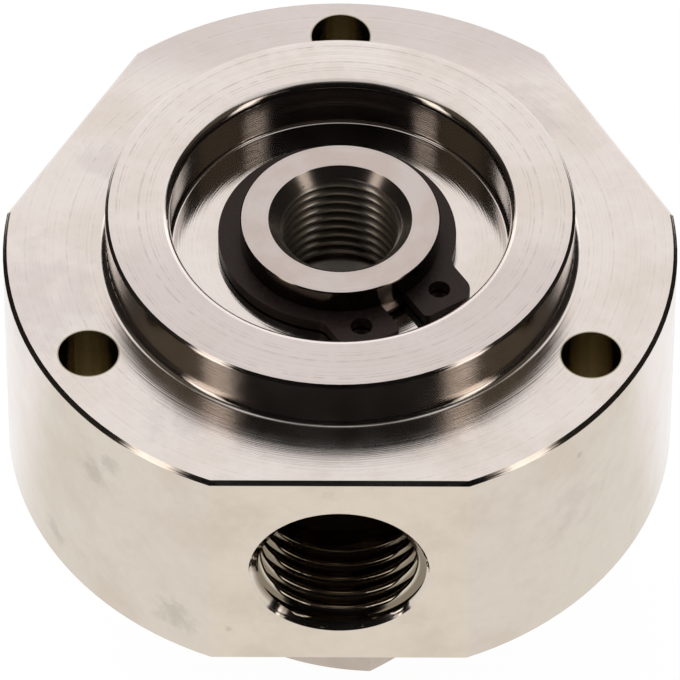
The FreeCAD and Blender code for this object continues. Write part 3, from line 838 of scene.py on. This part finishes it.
def add_camera():
    """Makes the scene's camera and turns it to the photograph's angle."""
    lens = bpy.data.cameras.new("photo_camera")
    lens.lens = FOCAL_LENGTH
    lens.sensor_width = SENSOR_WIDTH
    lens.clip_start = 0.01
    lens.clip_end = 100.0
    camera = bpy.data.objects.new("photo_camera", lens)
    bpy.context.scene.collection.objects.link(camera)
    back = Vector((0.0, -math.cos(CAMERA_ELEVATION), math.sin(CAMERA_ELEVATION)))
    right = Vector((1.0, 0.0, 0.0))
    up = back.cross(right)
    turned_right = right * math.cos(CAMERA_ROLL) + up * math.sin(CAMERA_ROLL)
    turned_up = up * math.cos(CAMERA_ROLL) - right * math.sin(CAMERA_ROLL)
    axes = Matrix((turned_right, turned_up, back)).transposed().to_4x4()
    place = (Vector(TARGET_MM) + back * CAMERA_DISTANCE_MM) * MM
    camera.matrix_world = Matrix.Translation(place) @ axes
    bpy.context.scene.camera = camera


add_camera()


# Studio. A white floor under the union and white all round, with curved dark cards that only the
# metal sees, so that it gets its dark lines. They stand behind the camera and at both sides, with
# a narrow lit window in a pale curtain at each front corner, and a wide window at the back.
FLOOR_HALF_M = 3.0
CARD_RADIUS_M = 0.6
CURTAIN_RADIUS_M = 0.595
WINDOW_RADIUS_M = 0.59
CARD_COLUMNS = 24
CARD_ROWS = 12
# The colour of each kind of card, and how brightly it is lit.
CAMERA_CARD = ("FFEFDE", 0.003)
CEILING_CARD = ("FFF7E7", 0.03)
LOW_CARD = ("FFEEDC", 0.014)
HIGH_CARD = ("FFF0CE", 0.078)
HIGH_BACK_CARD = ("FFEED8", 0.035)
WINDOW = ("FFFAF1", 1.45)
CURTAIN = ("FFF8EF", 0.65)
BACK_WINDOW = ("FFFFFF", 1.5)
PAPER_COLOUR = "F8F8F8"
SHEET_NEAR_COLOUR = "ECEBE3"
SHEET_FAR_COLOUR = "FFFFFF"
SHEET_BRIGHTENS_M = (-0.002, 0.016)
SHEET_ENDS_M = (0.22, 0.34)
TABLE_COLOUR = "26231F"
GLOW_SHARE = 0.97
OVERHEAD_FROM = (0.79, 0.95)
OVERHEAD_DIMMED = 0.7
SOFT_BOX_PLACE_M = (-0.25, 0.35, 0.8)
SOFT_BOX_SIDE_M = 0.7
SOFT_BOX_WATTS = 5.0
CARDS = (
    ("camera_card", CARD_RADIUS_M, -70.0, 70.0, -5.0, 66.0, CAMERA_CARD),
    ("ceiling_card", CARD_RADIUS_M, -70.0, 70.0, 66.0, 82.0, CEILING_CARD),
    ("left_low_card", CARD_RADIUS_M, 70.0, 137.0, -5.0, 34.0, LOW_CARD),
    ("right_low_card", CARD_RADIUS_M, -137.0, -70.0, -5.0, 34.0, LOW_CARD),
    ("left_high_card", CARD_RADIUS_M, 70.0, 112.0, 34.0, 66.0, HIGH_CARD),
    ("right_high_card", CARD_RADIUS_M, -112.0, -70.0, 34.0, 66.0, HIGH_CARD),
    ("left_back_card", CARD_RADIUS_M, 112.0, 137.0, 34.0, 66.0, HIGH_BACK_CARD),
    ("right_back_card", CARD_RADIUS_M, -137.0, -112.0, 34.0, 66.0, HIGH_BACK_CARD),
    ("left_curtain", CURTAIN_RADIUS_M, 49.0, 67.0, 3.0, 46.0, CURTAIN),
    ("right_curtain", CURTAIN_RADIUS_M, -67.0, -49.0, 3.0, 46.0, CURTAIN),
    ("left_window", WINDOW_RADIUS_M, 52.0, 64.5, 3.0, 46.0, WINDOW),
    ("right_window", WINDOW_RADIUS_M, -64.5, -52.0, 3.0, 46.0, WINDOW),
    ("back_window", WINDOW_RADIUS_M, 142.0, 218.0, 8.0, 36.0, BACK_WINDOW),
)


def stage_object(name, form, material):
    """Puts a mesh into the scene as part of the studio."""
    mesh = bpy.data.meshes.new(name)
    form.to_mesh(mesh)
    form.free()
    thing = bpy.data.objects.new(name, mesh)
    bpy.context.scene.collection.objects.link(thing)
    thing.data.materials.append(material)
    return thing


def white_floor():
    """White paper with a soft shadow; the metal also sees the dark table round it, and from below
    the floor is clear, so that the union's underside can be looked at."""
    material, tree = new_material("white_paper_floor")
    paper = add_node(tree, "ShaderNodeBsdfDiffuse", {"Color": PAPER_COLOUR})
    place = add_node(tree, "ShaderNodeTexCoord", {}, "Object")
    behind = add_node(tree, "ShaderNodeSeparateXYZ", {0: place}, "Y")
    lit = add_node(tree, "ShaderNodeMapRange", {
        0: behind, 1: SHEET_BRIGHTENS_M[0], 2: SHEET_BRIGHTENS_M[1]},
        interpolation_type="SMOOTHSTEP")
    sheet = add_node(tree, "ShaderNodeMix", {
        "Factor": lit, 6: SHEET_NEAR_COLOUR, 7: SHEET_FAR_COLOUR}, 2, data_type="RGBA")
    away = add_node(tree, "ShaderNodeVectorMath", {0: place}, "Value", operation="LENGTH")
    past_sheet = add_node(tree, "ShaderNodeMapRange", {
        0: away, 1: SHEET_ENDS_M[0], 2: SHEET_ENDS_M[1]}, interpolation_type="SMOOTHSTEP")
    mirrored = add_node(tree, "ShaderNodeMix", {
        "Factor": past_sheet, 6: sheet, 7: TABLE_COLOUR}, 2, data_type="RGBA")
    seen = add_node(tree, "ShaderNodeLightPath", {}, "Is Glossy Ray")
    white = add_node(tree, "ShaderNodeMix", {"Factor": seen, 6: "FFFFFF", 7: mirrored}, 2,
                     data_type="RGBA")
    glow = add_node(tree, "ShaderNodeEmission", {"Color": white, "Strength": 1.0})
    both = add_node(tree, "ShaderNodeMixShader", {0: GLOW_SHARE, 1: paper, 2: glow})
    from_below = add_node(tree, "ShaderNodeNewGeometry", {}, "Backfacing")
    clear = add_node(tree, "ShaderNodeBsdfTransparent", {})
    sided = add_node(tree, "ShaderNodeMixShader", {0: from_below, 1: both, 2: clear})
    add_node(tree, "ShaderNodeOutputMaterial", {"Surface": sided})
    return material


floor_form = bmesh.new()
floor_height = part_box("rotor")[0].z
corners = ((-1, -1), (1, -1), (1, 1), (-1, 1))
floor_form.faces.new([floor_form.verts.new((x * FLOOR_HALF_M, y * FLOOR_HALF_M, floor_height))
                      for x, y in corners])
stage_object("floor", floor_form, white_floor())


def card_form(radius_m, from_azimuth, to_azimuth, from_height, to_height):
    """A curved card; azimuth 0 is the photograph's side and grows towards the left."""
    form = bmesh.new()
    grid = []
    for i in range(CARD_COLUMNS + 1):
        azimuth = math.radians(from_azimuth + (to_azimuth - from_azimuth) * i / CARD_COLUMNS)
        line = []
        for j in range(CARD_ROWS + 1):
            rise = math.radians(from_height + (to_height - from_height) * j / CARD_ROWS)
            line.append(form.verts.new((-radius_m * math.sin(azimuth) * math.cos(rise),
                                        -radius_m * math.cos(azimuth) * math.cos(rise),
                                        radius_m * math.sin(rise))))
        grid.append(line)
    for left, right in zip(grid, grid[1:]):
        for j in range(CARD_ROWS):
            form.faces.new((left[j], right[j], right[j + 1], left[j + 1]))
    return form


for name, radius_m, az_from, az_to, low, high, (shade, light) in CARDS:
    card_material, card_tree = new_material(name + "_cloth")
    cloth = add_node(card_tree, "ShaderNodeEmission", {"Color": shade, "Strength": light})
    add_node(card_tree, "ShaderNodeOutputMaterial", {"Surface": cloth})
    card = stage_object(name, card_form(radius_m, az_from, az_to, low, high), card_material)
    card.visible_camera = False
    card.visible_diffuse = False
    card.visible_transmission = False
    card.visible_shadow = False
    card.visible_volume_scatter = False

world = bpy.data.worlds.new("white_studio")
bpy.context.scene.world = world
world.use_nodes = True
world_tree = world.node_tree
world_tree.nodes.clear()
sky_place = add_node(world_tree, "ShaderNodeTexCoord", {}, "Generated")
sky_rise = add_node(world_tree, "ShaderNodeSeparateXYZ", {0: sky_place}, "Z")
overhead = add_node(world_tree, "ShaderNodeMapRange", {
    0: sky_rise, 1: OVERHEAD_FROM[0], 2: OVERHEAD_FROM[1], 3: 1.0, 4: OVERHEAD_DIMMED},
    interpolation_type="SMOOTHSTEP")
seen = add_node(world_tree, "ShaderNodeLightPath", {}, "Is Glossy Ray")
strength = add_node(world_tree, "ShaderNodeMix", {"Factor": seen, 2: 1.0, 3: overhead})
sky = add_node(world_tree, "ShaderNodeBackground", {"Color": "FFFFFF", "Strength": strength})
add_node(world_tree, "ShaderNodeOutputWorld", {"Surface": sky})


def soft_box(name, place_m, side_m, watts):
    """A square lamp that faces the union; its light is soft because it is large."""
    lamp = bpy.data.lights.new(name, "AREA")
    lamp.shape = "SQUARE"
    lamp.size = side_m
    lamp.energy = watts
    thing = bpy.data.objects.new(name, lamp)
    bpy.context.scene.collection.objects.link(thing)
    thing.location = place_m
    thing.rotation_mode = "QUATERNION"
    thing.rotation_quaternion = Vector(place_m).to_track_quat("Z", "Y")
    thing.visible_glossy = False


soft_box("upper_soft_box", SOFT_BOX_PLACE_M, SOFT_BOX_SIDE_M, SOFT_BOX_WATTS)

bpy.context.scene.view_settings.view_transform = "Standard"
